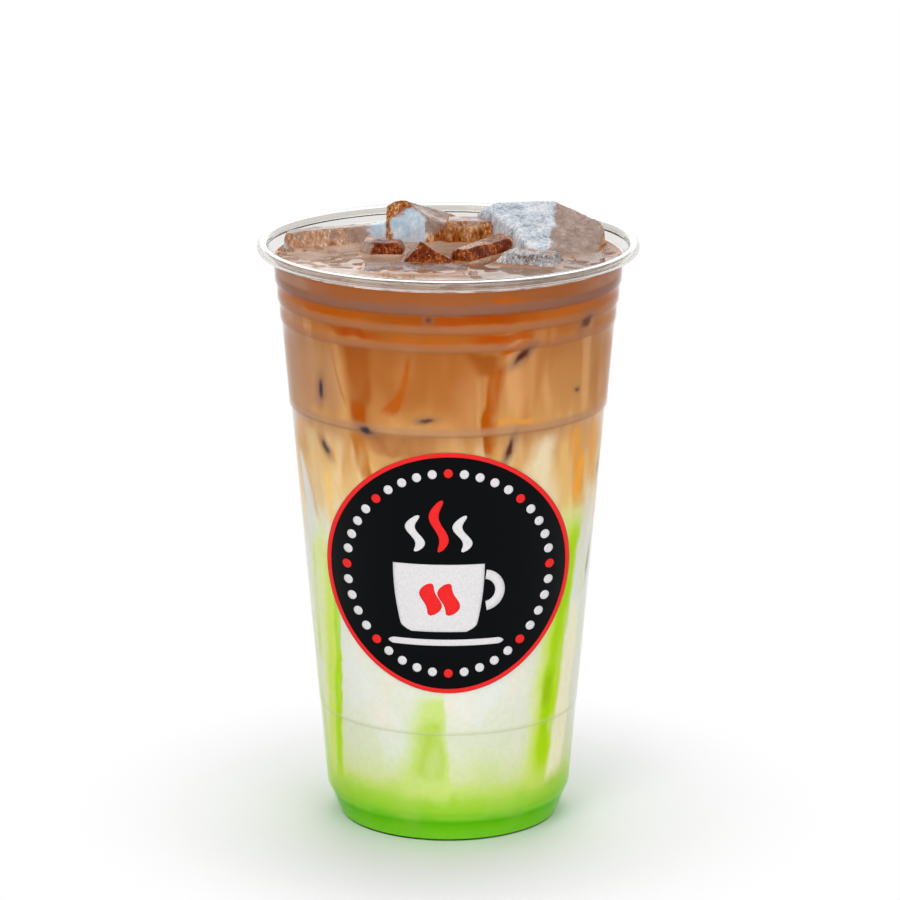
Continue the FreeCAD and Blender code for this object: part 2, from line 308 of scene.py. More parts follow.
# Eddies that bend streaks aside and up or down, as: noise scale, its upright share, how far they move, shift
ASIDE_EDDIES = [(110, 0.5, 6.0, 0.0), (420, 0.6, 2.2, 0.3)]
UPRIGHT_EDDIES = [(110, 0.8, 5.0, 0.5), (500, 0.8, 1.4, 0.8)]
EDDY_ROOM = 7.0  # eddies and the spots' own size move things less than this up or down
FINGERS = 22.0  # how long milk and coffee reach into each other
FINGERS_AT = (82.0, 100.0, 9.0)  # between these heights, fading over the third
STILL_UNDER = (6.3, 6.9)  # under these heights the colours are level
ASIDE_FROM = (66.0, 84.0)  # the sides and back begin between these angles
HEIGHT_SPAN = 160.0  # the side's colour ramp covers this height


def wall_place(graph):
    """A point's place, its X, Y and Z, its angle in degrees and its height in millimetres."""
    place = graph.place()
    split = graph.node("SeparateXYZ", place).outputs
    turn = graph.maths("ARCTAN2", split["X"], graph.times(split["Y"], -1.0))
    return place, split, graph.times(turn, math.degrees(1.0)), graph.times(split["Z"], 1 / MM)


def stretched_noise(graph, place, scale, upright, shift=0.0, detail=2.0, roughness=0.5):
    """Noise whose features are 1 / upright times as tall as wide, and differ with shift."""
    moved = graph.node("VectorMath", place, (shift, 2 * shift, -shift), operation="ADD").outputs[0]
    squeezed = graph.node("VectorMath", moved, (1.0, 1.0, upright), operation="MULTIPLY").outputs[0]
    return graph.noise(squeezed, scale, detail, roughness)


def eddied(graph, place, value, *eddies):
    """A value moved up and down by noise, once for each row of eddies."""
    for scale, upright, amount, shift in eddies:
        drift = stretched_noise(graph, place, scale, upright, shift)
        value = graph.maths("ADD", value, graph.maths("MULTIPLY_ADD", drift, amount, -amount / 2))
    return value


def window(graph, value, low, high, soft):
    """A share that is 1 between low and high, and fades over the distance soft beyond them."""
    return graph.times(graph.remap(value, low - soft, low), graph.remap(value, high + soft, high))


def reaching(rows, extent, low, high):
    """The rows of a table that reach between two heights, with room for how far eddies move them."""
    return [row for row in rows if extent(row)[0] - EDDY_ROOM <= high and extent(row)[1] + EDDY_ROOM >= low]


def add_streaks(graph, streaks, colour, angle, height, per_degree, uneven):
    """Lays each streak over the colour, thinner and thicker as the uneven share says."""
    group = bpy.data.node_groups.get("streak") or streak_group()
    for shade, strength, top, bottom, *form in streaks:
        made = graph.node("Group", angle, height, *top, *bottom, *form, per_degree, node_tree=group)
        share = graph.times(made.outputs[0], graph.times(uneven, strength), clamp=True)
        colour = graph.mix(share, colour, through_wall(*shade))
    return colour


def add_curtains(graph, curtains, colour, place, angle, height):
    """Wisps that hang in the drink all round, and thick streaks on the sides and the back."""
    turned = graph.remap(graph.maths("ABSOLUTE", angle), *ASIDE_FROM)
    for shade, strength, low, high, soft, scale, upright, shift, start, end, aside in curtains:
        share = graph.remap(stretched_noise(graph, place, scale, upright, shift, 1.6), start, end)
        share = graph.times(graph.times(share, window(graph, height, low, high, soft)), strength)
        if aside:
            share = graph.times(share, turned)
        colour = graph.mix(share, colour, through_wall(*shade))
    return colour


def add_sunk_ice(graph, spots, colour, angle, height, per_degree):
    """Dark cores with a soft brown halo, where ice inside the drink touches the wall."""
    if not spots:
        return colour
    halo, core = None, None
    for spot_angle, spot_height, half_length, half_width, tilt, darkness in spots:
        aside = graph.times(graph.maths("SUBTRACT", angle, spot_angle), per_degree)
        up = graph.maths("SUBTRACT", height, spot_height)
        cosine, sine = math.cos(math.radians(tilt)), math.sin(math.radians(tilt))
        along = graph.times(aside, cosine / half_length)
        along = graph.maths("MULTIPLY_ADD", up, sine / half_length, along)
        over = graph.times(aside, -sine / half_width)
        over = graph.maths("MULTIPLY_ADD", up, cosine / half_width, over)
        far = graph.maths("SQRT", graph.maths("MULTIPLY_ADD", along, along, graph.times(over, over)))
        this_halo = graph.remap(far, 0.5, 2.5, darkness * 0.75, 0.0)
        this_core = graph.remap(far, 0.3, 1.15, darkness * 0.92, 0.0)
        halo = this_halo if halo is None else graph.maths("MAXIMUM", halo, this_halo)
        core = this_core if core is None else graph.maths("MAXIMUM", core, this_core)
    colour = graph.mix(halo, colour, through_wall(130, 98, 82))
    on_right = graph.remap(angle, -20.0, 10.0)
    return graph.mix(core, colour, graph.mix(on_right, through_wall(56, 56, 62), through_wall(82, 42, 36)))


def side_colour(graph, low, high):
    """The drink's colour through the wall between two heights: its bands, and what lies over them."""
    streaks = reaching(STREAKS, lambda row: (row[3][1], row[2][1]), low, high)
    curtains = reaching(CURTAINS, lambda row: (row[2] - row[4], row[3] + row[4]), low, high)
    spots = reaching(SUNK_ICE, lambda row: (row[1], row[1]), low, high)
    place, split, angle, height = wall_place(graph)
    square = graph.maths("MULTIPLY_ADD", split["X"], split["X"], graph.times(split["Y"], split["Y"]))
    radius = graph.times(graph.maths("SQRT", square), 1 / MM)
    per_degree = graph.times(radius, math.radians(1.0))
    wavy_angle = eddied(graph, place, angle, *ASIDE_EDDIES)
    wavy_height = eddied(graph, place, height, *UPRIGHT_EDDIES)
    fingers = stretched_noise(graph, place, 110, 0.30, 0.4, 1.5)
    fingers = graph.maths("MULTIPLY_ADD", fingers, FINGERS, -FINGERS / 2)
    fingered = graph.maths("MULTIPLY_ADD", fingers, window(graph, height, *FINGERS_AT), wavy_height)
    moving = graph.remap(height, *STILL_UNDER)
    rise = graph.maths("DIVIDE", graph.mix(moving, height, fingered), HEIGHT_SPAN)
    colour = graph.ramp(rise, {h / HEIGHT_SPAN: through_wall(*c) for h, c in SIDE_COLOURS.items()})
    colour = add_curtains(graph, curtains, colour, place, angle, height)
    uneven = graph.remap(stretched_noise(graph, place, 200, 0.4, 0.9, 2.0), 0.25, 0.60, 0.65, 1.1)
    colour = add_streaks(graph, streaks, colour, wavy_angle, wavy_height, per_degree, uneven)
    # Painted reflection and shade of the ledges, with a darker painted line at each ledge's foot.
    for foot, top, shade, strength in LEDGE_STRIPES:
        over_foot = graph.remap(height, foot - 0.1, foot + 0.2)
        under_top = graph.remap(height, top + 0.4, top - 1.0)
        band = graph.times(graph.times(over_foot, under_top), uneven)
        colour = graph.mix(graph.times(band, strength, clamp=True), colour, through_wall(*shade))
        line = graph.times(graph.remap(height, foot - 0.5, foot - 0.1), graph.remap(height, foot + 0.4, foot))
        darker = tuple(0.80 * part for part in shade)
        colour = graph.mix(graph.times(line, 0.5 * strength), colour, through_wall(*darker))
    near_angle = eddied(graph, place, angle, ASIDE_EDDIES[1])
    near_height = eddied(graph, place, height, UPRIGHT_EDDIES[1])
    colour = add_sunk_ice(graph, spots, colour, near_angle, near_height, per_degree)
    mottle = stretched_noise(graph, place, 700, 1.0, 0.2, 3.0, 0.7)
    return graph.brightened(colour, graph.remap(mottle, 0.3, 0.7, 0.965, 1.035, smooth=False))


def drink_material(name, node):
    """The side of the layer that this CAD node stands for."""
    low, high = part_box(node)
    graph = material(name, Roughness=0.5, Specular_IOR_Level=0.0)
    graph.give(Base_Color=side_colour(graph, low.z / MM, high.z / MM))
    return graph.material


def surface_material():
    """The coffee seen from above: grey-brown where milk has risen and, in part, as a painted reflection of the
    sky; painted lighter and greyer at the left and darker at the right; amber at the wall and in the bubbles,
    where the amber at the wall and round the ice is a painted glint.
    """
    graph = material("drink_top", Roughness=0.05, IOR=1.22)
    place = graph.place()
    swirl = graph.node("TexNoise", place, None, 45.0, 1.0).outputs["Color"]
    swirl = graph.node("VectorMath", swirl, (0.5, 0.5, 0.5), operation="SUBTRACT").outputs[0]
    pulled = graph.node("VectorMath", swirl, (0.05, 0.05, 0.0), place, operation="MULTIPLY_ADD").outputs[0]
    cloud = graph.noise(pulled, 75, 2.5, 0.5)
    colour = graph.ramp(cloud, {0.30: linear(140, 106, 84), 0.44: linear(166, 136, 118),
                                0.55: linear(178, 154, 138), 0.70: linear(196, 174, 158)})
    speck = graph.remap(graph.noise(place, 1500, 2.0, 0.6), 0.35, 0.75, 0.9, 1.12)
    across = graph.node("SeparateXYZ", place).outputs["X"]
    # Painted light: brighter and greyer at the left, darker and browner at the right.
    light = graph.times(speck, graph.remap(across, -45 * MM, 40 * MM, 1.50, 0.60))
    colour = graph.brightened(colour, light, graph.remap(across, -45 * MM, 40 * MM, 0.90, 1.3))
    bubble = graph.node("Attribute", attribute_name="bubble").outputs["Fac"]
    colour = graph.mix(graph.times(bubble, 0.55), colour, linear(132, 78, 44))
    # Painted glint: amber where the drink meets the wall and the ice.
    edge = graph.node("Attribute", attribute_name="edge").outputs["Fac"]
    patchy = graph.remap(graph.noise(place, 240, 3.0, 0.6), 0.3, 0.6, 0.35, 1.0)
    graph.give(Base_Color=graph.mix(graph.times(edge, patchy), colour, linear(188, 112, 32)))
    return graph.material


def plastic_material(name, tint, **constants):
    """Clear plastic whose polish is a little uneven."""
    graph = material(name, Transmission_Weight=1.0, Base_Color=tint, **constants)
    polish = graph.noise(graph.place(), 90, 3.0, 0.6)
    graph.give(Roughness=graph.remap(polish, 0.3, 0.7, 0.02, 0.045))
    return graph.material


# Kinds of ice: dark, middle and light colour, grain size, share of light let through, roughness. The light
# colours are partly painted glints.
ICE_KINDS = {
    "brown": ((106, 42, 4), (168, 92, 28), (226, 178, 132), 0.8, 0.12, 0.14),
    "dark": ((58, 8, 0), (122, 46, 3), (186, 104, 44), 0.8, 0.05, 0.12),
    "frost": ((142, 158, 170), (212, 222, 232), (255, 255, 255), 0.8, 0.2, 0.35),
    "grey": ((160, 131, 115), (177, 150, 135), (196, 175, 162), 1.6, 0.3, 0.16),
    "wet": ((104, 62, 42), (128, 86, 64), (164, 126, 104), 1, 0.15, 0.25),
    "pale": ((178, 204, 222), (198, 218, 232), (222, 234, 242), 1.6, 0.25, 0.12),
    "speckle": ((92, 56, 36), (178, 178, 180), (255, 252, 248), 0.7, 0.2, 0.3),
    "milky": ((160, 104, 66), (200, 156, 122), (252, 230, 206), 0.8, 0.15, 0.16),
    "amber": ((130, 66, 18), (190, 124, 68), (232, 190, 146), 0.8, 0.25, 0.12),
}

# Each block's own kind, and what lies over it in turn: on faces that look a way ("faces", direction, how near
# to it), past a plane across the block ("past", direction, distance from its centre), or in blotches
# ("blotches", nothing, share)
ICE_LOOKS = {
    "ice_back_right": ("grey", [("faces", (-0.8, -0.5, 0.3), 0.7, "frost"),
                                ("past", (-1, 0, 0.3), -1, "frost"), ("faces", (0, -1, 0), 0.86, "grey"),
                                ("faces", (1, -0.2, 0.1), 0.84, "amber"), ("past", (0.7, 0, -1), 8, "amber")]),
    "ice_back_left": ("grey", [("faces", (-0.4, -0.85, 0.3), 0.72, "pale"), ("past", (1, 0, 0), 2.8, "grey"),
                               ("past", (-0.45, 0, 1), 9.4, "brown"), ("past", (-1, 0, 0), 8.2, "brown"),
                               ("past", (0.6, 0, -0.8), -0.6, "brown")]),
    "ice_left": ("milky", [("blotches", (), 0.56, "grey"), ("faces", (0, 0, 1), 0.75, "grey"),
                           ("past", (1, 0, 0.2), 10, "pale"), ("past", (-1, 0, -0.2), 11.5, "pale")]),
    "ice_back": ("brown", [("blotches", (), 0.5, "amber"), ("faces", (0, 0, 1), 0.75, "grey")]),
    "ice_centre": ("dark", [("faces", (-0.5, 0.3, 0.8), 0.88, "grey"), ("faces", (0, 0, 1), 0.94, "brown"),
                            ("past", (0.5, 0.85, 0), 7.5, "amber")]),
    "ice_centre_left": ("dark", [("past", (-1, 0, 0.2), 3.6, "grey"), ("faces", (0, 0.2, 1), 0.97, "brown")]),
    "ice_peak": ("dark", [("faces", (-0.8, 0.1, 0.6), 0.75, "grey"),
                          ("faces", (0.5, 0.4, 0.7), 0.75, "amber")]),
    "ice_front_right": ("speckle", [("blotches", (), 0.6, "brown")]),
    "ice_front": ("wet", [("blotches", (), 0.64, "speckle")]),
}


def ice_material(node):
    """Wet ice whose faces differ: frosted, stained by coffee, or smooth and pale, with painted glints."""
    base, layers = ICE_LOOKS[node]
    low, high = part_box(node)
    centre = (low + high) / 2
    graph = material("worn_" + node, IOR=1.31, Specular_IOR_Level=0.2)
    place = graph.place()
    facing = graph.node("NewGeometry").outputs["True Normal"]
    patches = graph.noise(place, 260, 3.0, 0.6)
    grain = {}

    def shade_of(kind):
        dark, middle, light, size, passed, rough = ICE_KINDS[kind]
        if size not in grain:
            fine = stretched_noise(graph, place, 1 / (size * MM), 0.4, 0.0, 3.0, 0.8)
            grain[size] = graph.maths("MULTIPLY_ADD", patches, 0.40, graph.times(fine, 0.66))
        stops = ((0.44, dark), (0.51, middle), (0.56, middle), (0.62, light))
        return graph.ramp(grain[size], {position: linear(*shade) for position, shade in stops}), passed, rough

    colour, passed, rough = shade_of(base)
    for way, direction, limit, kind in layers:
        if way == "blotches":
            measure, soft = graph.noise(place, 140, 3.0, 0.6), 0.03
        else:
            towards = Vector(direction).normalized()
            source = facing if way == "faces" else place
            along = graph.node("VectorMath", source, tuple(towards), operation="DOT_PRODUCT").outputs["Value"]
            soft = 0.06
            if way == "past":
                along = graph.maths("MULTIPLY_ADD", along, 1 / MM, -towards.dot(centre) / MM)
                soft = 0.6
            ragged = 8 * soft
            measure = graph.maths("MULTIPLY_ADD", patches, ragged, graph.maths("SUBTRACT", along, ragged / 2))
        share = graph.remap(measure, limit - soft, limit + soft)
        other, other_passed, other_rough = shade_of(kind)
        colour = graph.mix(share, colour, other)
        passed = graph.blend(share, passed, other_passed)
        rough = graph.blend(share, rough, other_rough)
    # Painted glints: sparse white specks that stand in for highlights.
    glint = graph.remap(graph.noise(place, 1 / (0.6 * MM), 2.0, 0.8), 0.66, 0.72, 0.0, 0.85)
    glint = graph.times(glint, graph.remap(patches, 0.42, 0.56))
    colour = graph.mix(glint, colour, linear(250, 248, 246))
    bump = graph.node("Bump")
    bump.inputs["Strength"].default_value = 0.4
    bump.inputs["Distance"].default_value = 0.25 * MM
    graph.feed(bump.inputs["Height"], next(iter(grain.values())))
    graph.give(Base_Color=colour, Transmission_Weight=passed, Roughness=rough, Normal=bump.outputs[0])
    return graph.material


# -------- meshes

def new_object(name, data):
    made = bpy.data.objects.new(name, data)
    bpy.context.scene.collection.objects.link(made)
    return made


def mesh_object(name, points, faces, materials, smooth=True):
    mesh = bpy.data.meshes.new(name)
    mesh.from_pydata([tuple(p) for p in points], [], faces)
    mesh.polygons.foreach_set("use_smooth", [smooth] * len(faces))
    for each in materials:
        mesh.materials.append(each)
    mesh.update()
    return new_object(name, mesh)


def seam_profile(node):
    """The section of a turned CAD node, as (radius, height) points in a row, read from its seam at +X."""
    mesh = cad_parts[node].data
    points = [v.co for v in mesh.vertices]
    on_seam = [abs(p.y) < 1e-6 and p.x > 0 for p in points]
    place = {n: (round(p.x, 6), round(p.z, 6)) for n, p in enumerate(points) if on_seam[n]}
    beside = {}
    for edge in mesh.edges:
        first, second = edge.vertices
        if on_seam[first] and on_seam[second] and place[first] != place[second]:
            beside.setdefault(place[first], set()).add(place[second])
            beside.setdefault(place[second], set()).add(place[first])
    ends = sorted((p for p, others in beside.items() if len(others) == 1), key=lambda p: (p[1], p[0]))
    chain = [min(ends, key=lambda p: p[0] + (p[1] > FOOT_ZONE))]
    while True:
        onward = [p for p in beside[chain[-1]] if p not in chain[-3:]]
        if not onward:
            return chain
        chain.append(onward[0])


def thinned(chain, least):
    """The chain without points that lie closer together than least, but with both ends."""
    kept = [chain[0]]
    for point in chain[1:-1]:
        if math.dist(point, kept[-1]) >= least and math.dist(point, chain[-1]) >= least:
            kept.append(point)
    return kept + [chain[-1]]


def pushed_out(chain, amount):
    """The chain moved outwards by amount. Its ends keep their height, except on the cup's floor."""
    moved = []
    for place, (radius, height) in enumerate(chain):
        before, after = chain[max(place - 1, 0)], chain[min(place + 1, len(chain) - 1)]
        across, up = after[0] - before[0], after[1] - before[1]
        length = math.hypot(across, up)
        moved.append((radius + up / length * amount, height - across / length * amount))
    if chain[0][1] > FOOT_ZONE:
        moved[0] = (moved[0][0], chain[0][1])
    moved[-1] = (moved[-1][0], chain[-1][1])
    return moved


def ring_steps(ring):
    """Each point of a ring with the next one, by their numbers, where rings of points follow each other."""
    first = ring * SEGMENTS
    return [(first + n, first + (n + 1) % SEGMENTS) for n in range(SEGMENTS)]


def ring_quads(ring):
    """Quads between a ring of points and the next ring."""
    return [(a, b, d, c) for (a, b), (c, d) in zip(ring_steps(ring), ring_steps(ring + 1))]


def cap(middle, ring, up):
    """Triangles between a middle point and a ring, which look up or down."""
    return [(middle, a, b) if up else (middle, b, a) for a, b in ring_steps(ring)]


def lathe(chain):
    """Points and faces of the chain of (radius, height) turned round the axis, open at both ends."""
    points = [(r * math.cos(t), r * math.sin(t), z) for r, z in chain for t in TURNS]
    return points, [face for ring in range(len(chain) - 1) for face in ring_quads(ring)]


def closed_lathe(chain):
    """Points and faces of the turned chain with flat ends."""
    points, faces = lathe(chain)
    bottom, top = len(points), len(points) + 1
    points += [(0, 0, chain[0][1]), (0, 0, chain[-1][1])]
    return points, faces + cap(bottom, 0, up=False) + cap(top, len(chain) - 1, up=True)


def sharpen_rings(mesh, *rings):
    """Marks the edges along these rings of points as sharp."""
    for edge in mesh.edges:
        first, second = (n // SEGMENTS for n in edge.vertices)
        if first == second and first in rings:
            edge.use_edge_sharp = True


def drink_layer(name, node):
    """A layer with flat ends, whose side reaches just into the wall."""
    chain = pushed_out(thinned(seam_profile(node), DRINK_STEP), REACH)
    points, faces = closed_lathe(chain)
    made = mesh_object(name, points, faces, [drink_material(name + "_side", node)])
    sharpen_rings(made.data, 0, len(chain) - 1)
    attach(made, "root")
    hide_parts(node)


def ice_distance(x, y, trees):
    """How far a point of the still surface is from the nearest ice."""
    return min(tree.find_nearest((x, y, SURFACE))[3] for tree in trees)


def surface_bubbles(trees, edge):
    """Flat bubbles as (x, y, radius), spread over the free surface and packed closer near the wall."""
    chance = random.Random(5)
    found = []
    while len(found) < BUBBLES:
        radius = chance.choice((0.8, 1.0, 1.3, 1.7, 2.4)) * chance.uniform(0.8, 1.2) * MM
        turn, far = chance.uniform(0, 2 * math.pi), edge * chance.random() ** 0.28 - radius - 0.4 * MM
        x, y = far * math.cos(turn), far * math.sin(turn)
        clear_of_ice = ice_distance(x, y, trees) > radius * 0.8
        clear_of_others = all(math.dist((x, y), other[:2]) > 0.85 * (radius + other[2]) for other in found)
        if far > 0 and clear_of_ice and clear_of_others:
            found.append((x, y, radius))
    return found


def surface_relief(x, y, edge, trees, bubbles):
    """Height over the still surface, how much of a bubble is here, and how near the wall or ice is.

    The height is swell and ripples, the domes of bubbles, and the liquid drawn up at the wall and ice.
    """
    radius = math.hypot(x, y)
    swell = sum(height * noise.noise((x * scale, y * scale, shift)) for scale, height, shift in SWELL)
    at_wall = math.exp(-(edge - radius) / (1.5 * MM))
    at_ice = math.exp(-ice_distance(x, y, trees) / (0.9 * MM))
    dome = 0.0
    for bx, by, size in bubbles:
        far = math.hypot(x - bx, y - by) / size
        if far < 1.5:
            skin, foot = math.sqrt(max(0.0, 1 - far * far)), math.exp(-8 * abs(far - 1))
            dome = max(dome, 0.30 * size / MM * skin + 0.08 * foot)
    height = (swell * min(1.0, (edge - radius) / (3 * MM)) + max(0.9 * at_wall, 0.6 * at_ice) + dome) * MM
    return height, min(1.0, dome / 0.25), max(at_wall, 0.6 * at_ice)


def coffee_piece(materials, trees):
    """The top layer, drawn a little up the wall, with a rippled top. Gives its radius and its bubbles."""
    chain = pushed_out(thinned(seam_profile("coffee_layer"), DRINK_STEP), REACH)
    (r0, z0), (r1, z1) = chain[-2:]
    edge = r1 + (r1 - r0) / (z1 - z0) * CLIMB
    chain.append((edge, z1 + CLIMB))
    points, faces = lathe(chain)
    side_faces, brink = len(faces), len(chain) - 1
    bubbles = surface_bubbles(trees, edge)
    in_bubble, at_edge = [0.0] * len(points), [1.0] * len(points)
    for ring in range(1, SURFACE_RINGS):
        radius = edge * (1 - ring / SURFACE_RINGS) ** 0.85
        for turn in TURNS:
            x, y = radius * math.cos(turn), radius * math.sin(turn)
            height, bubble, nearness = surface_relief(x, y, edge, trees, bubbles)
            points.append((x, y, SURFACE + height))
            in_bubble.append(bubble)
            at_edge.append(nearness)
        faces += ring_quads(brink + ring - 1)
    middle, bottom = len(points), len(points) + 1
    points += [(0, 0, SURFACE), (0, 0, chain[0][1])]
    faces += cap(middle, brink + SURFACE_RINGS - 1, up=True)
    top_faces = range(side_faces, len(faces))
    faces += cap(bottom, 0, up=False)
    made = mesh_object("coffee", points, faces, materials)
    for name, values in (("bubble", in_bubble), ("edge", at_edge)):
        attribute = made.data.attributes.new(name, "FLOAT", "POINT")
        attribute.data.foreach_set("value", values + [0.0] * (len(points) - len(values)))
    for number in top_faces:
        made.data.polygons[number].material_index = 1
    sharpen_rings(made.data, 0, brink)
    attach(made, "root")
    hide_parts("coffee_layer")
    return edge, bubbles


def froth_piece(blocks, trees, edge, bubbles):
    """Tiny bubbles in clusters along the wall and round the ice, half sunk in the drink."""
    chance = random.Random(11)
    corners = [v.co.copy() for block in blocks for v in block.data.vertices]
    at_ice = [corner for corner in corners if abs(corner.z - SURFACE) < 0.3 * MM]
    points, faces = [], []
    for cluster in range(FROTH_CLUSTERS):
        turn = chance.uniform(0, 2 * math.pi)
        middle = Vector((edge * math.cos(turn), edge * math.sin(turn), 0))
        if cluster % 2:
            middle = chance.choice(at_ice)
        for _ in range(chance.randint(5, 16)):
            size = chance.choice((0.25, 0.32, 0.42, 0.6)) * MM
            x, y = middle.x + chance.gauss(0, 1.7) * MM, middle.y + chance.gauss(0, 1.7) * MM
            clear_of_ice = ice_distance(x, y, trees) > 0.6 * size and not inside_ice(x, y, trees)
            if math.hypot(x, y) < edge - 0.7 * size and clear_of_ice:
                height = SURFACE + surface_relief(x, y, edge, trees, bubbles)[0] + 0.15 * size
                add_ball(points, faces, Vector((x, y, height)), size)
    graph = material("bubble_film", Roughness=0.04, IOR=1.18, Transmission_Weight=0.8)
    tone = graph.noise(graph.place(), 400)
    graph.give(Base_Color=graph.mix(tone, linear(214, 172, 138), linear(246, 240, 234)))
    made = mesh_object("froth", points, faces, [graph.material])
    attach(made, "root")


def inside_ice(x, y, trees):
    """Whether a point of the surface is inside a block: a ray straight up from it meets an inner side."""
    for tree in trees:
        place, normal, _, _ = tree.ray_cast(Vector((x, y, SURFACE)), Vector((0, 0, 1)))
        if place is not None and normal.z > 0:
            return True
    return False


def add_ball(points, faces, middle, size, around=12, stacks=8):
    """Adds a small ball's points and quads, with triangles at its poles."""
    first = len(points)
    points += [middle + Vector((0, 0, size)), middle - Vector((0, 0, size))]
    for stack in range(1, stacks):
        tip = math.pi * stack / stacks
        for n in range(around):
            turn = 2 * math.pi * n / around
            out = Vector((math.sin(tip) * math.cos(turn), math.sin(tip) * math.sin(turn), math.cos(tip)))
            points.append(middle + size * out)
    start, last = first + 2, first + 2 + (stacks - 2) * around
    for n in range(around):
        after = (n + 1) % around
        faces += [(first, start + n, start + after), (first + 1, last + after, last + n)]
        for low in range(start, last, around):
            faces.append((low + n, low + around + n, low + around + after, low + after))


def apply_modifiers(obj):
    """Gives the object the mesh that its modifiers make, and removes them."""
    graph = bpy.context.evaluated_depsgraph_get()
    mesh = bpy.data.meshes.new_from_object(obj.evaluated_get(graph))
    obj.modifiers.clear()
    obj.data = mesh


def ice_piece(node):
    """A worn block: the CAD block remeshed finely, smoothed, and dented by noise."""
    made = new_object("worn_" + node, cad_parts[node].data.copy())
    made.modifiers.new("weld", "WELD").merge_threshold = WELD_DISTANCE
    remesh = made.modifiers.new("remesh", "REMESH")
    remesh.mode = "VOXEL"
    remesh.voxel_size = ICE_GRID
    made.modifiers.new("soften", "SMOOTH").iterations = 2
    apply_modifiers(made)
    mesh = made.data
    normals = [v.normal.copy() for v in mesh.vertices]
    for vertex, normal in zip(mesh.vertices, normals):
        p = vertex.co
        dent = sum(depth * noise.noise(p * scale) for scale, depth in ICE_DENTS) - ICE_WORN
        vertex.co = p + normal * dent * MM
    mesh.polygons.foreach_set("use_smooth", [True] * len(mesh.polygons))
    mesh.materials.clear()
    mesh.materials.append(ice_material(node))
    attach(made, "root")
    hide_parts(node)
    made.visible_shadow = False
    return made


def cup_piece(wall_plastic, rim_plastic):
    """The cup's own section, turned finely enough to refract cleanly. The dry rim is hazier."""
    points, faces = closed_lathe(thinned(seam_profile("cup"), CUP_STEP))
    made = mesh_object("clear_cup", points, faces, [wall_plastic, rim_plastic])
    for polygon in made.data.polygons:
        if polygon.center.z > DRY_FROM:
            polygon.material_index = 1
    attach(made, "root")
    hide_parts("cup")
    made.visible_shadow = False


def ink_material(name, shade):
    """Screen-printed ink: nearly even, with a fine grain in its colour and its gloss."""
    graph = material(name, Specular_IOR_Level=0.05)
    place = graph.place()
    grain = graph.remap(graph.noise(place, 1800, 2.0, 0.6), 0.3, 0.7, 0.94, 1.05)
    gloss = graph.remap(graph.noise(place, 300, 2.0), 0.3, 0.7, 0.34, 0.46)
    graph.give(Base_Color=graph.brightened(linear(*shade), grain), Roughness=gloss)
    return graph.material


class Print:
    """Patches of one ink that stand proud of the wall. Places are right and up from the badge's middle."""

    def __init__(self, proud):
        self.proud = proud
        self.chain = seam_profile("cup")
        self.points, self.faces = [], []

    def wall_radius(self, height):
        spans = zip(self.chain, self.chain[1:])
        return max(r0 + (r1 - r0) * (height - z0) / (z1 - z0) for (r0, z0), (r1, z1) in spans
                   if z0 != z1 and min(z0, z1) <= height <= max(z0, z1))

    def on_wall(self, right, up):
        x, z = right * MM, (BADGE_HEIGHT + up * BADGE_STRETCH) * MM
        radius = self.wall_radius(z) + self.proud
        return Vector((x, -math.sqrt(radius ** 2 - x ** 2), z))

    def patch(self, shape, rows, columns):
        """A grid of quads over shape(s, t), which gives a place for s and t from 0 to 1."""
        first = len(self.points)
        for row in range(rows + 1):
            for column in range(columns + 1):
                self.points.append(self.on_wall(*shape(row / rows, column / columns)))
        faces = []
        for row in range(rows):
            for column in range(columns):
                corner = first + row * (columns + 1) + column
                faces.append((corner, corner + 1, corner + columns + 2, corner + columns + 1))
        middle = faces[len(faces) // 2]
        a, b, c = (self.points[n] for n in middle[:3])
        if (b - a).cross(c - a).dot(Vector((a.x, a.y, 0))) < 0:
            faces = [face[::-1] for face in faces]
        self.faces += faces

    def ring(self, inner, outer, centre=(0, 0), start=0, end=360, rows=2, columns=180):
        def shape(s, t):
            radius, turn = inner + (outer - inner) * s, math.radians(start + (end - start) * t)
            return centre[0] + radius * math.sin(turn), centre[1] + radius * math.cos(turn)
        self.patch(shape, rows, columns)

    def ribbon(self, bottom, top, middle, half_width, rows=30, columns=4):
        """A band from bottom to top. Its middle and half width are functions of the share of the way up."""
        def shape(s, t):
            return middle(s) + half_width(s) * (2 * t - 1), bottom + (top - bottom) * s
        self.patch(shape, rows, columns)

    def piece(self, name, ink):
        made = mesh_object(name, self.points, self.faces, [ink])
        made.modifiers.new("weld", "WELD").merge_threshold = WELD_DISTANCE
        thick = made.modifiers.new("ink", "SOLIDIFY")
        thick.thickness = INK_THICKNESS
        thick.offset = 1.0
        apply_modifiers(made)
        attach(made, "root")


def oval(share, half_width, power):
    """A half width that closes at both ends, squarer with more power."""
    return half_width * math.sqrt(max(0.0, 1 - (2 * share - 1) ** power)) + 0.01


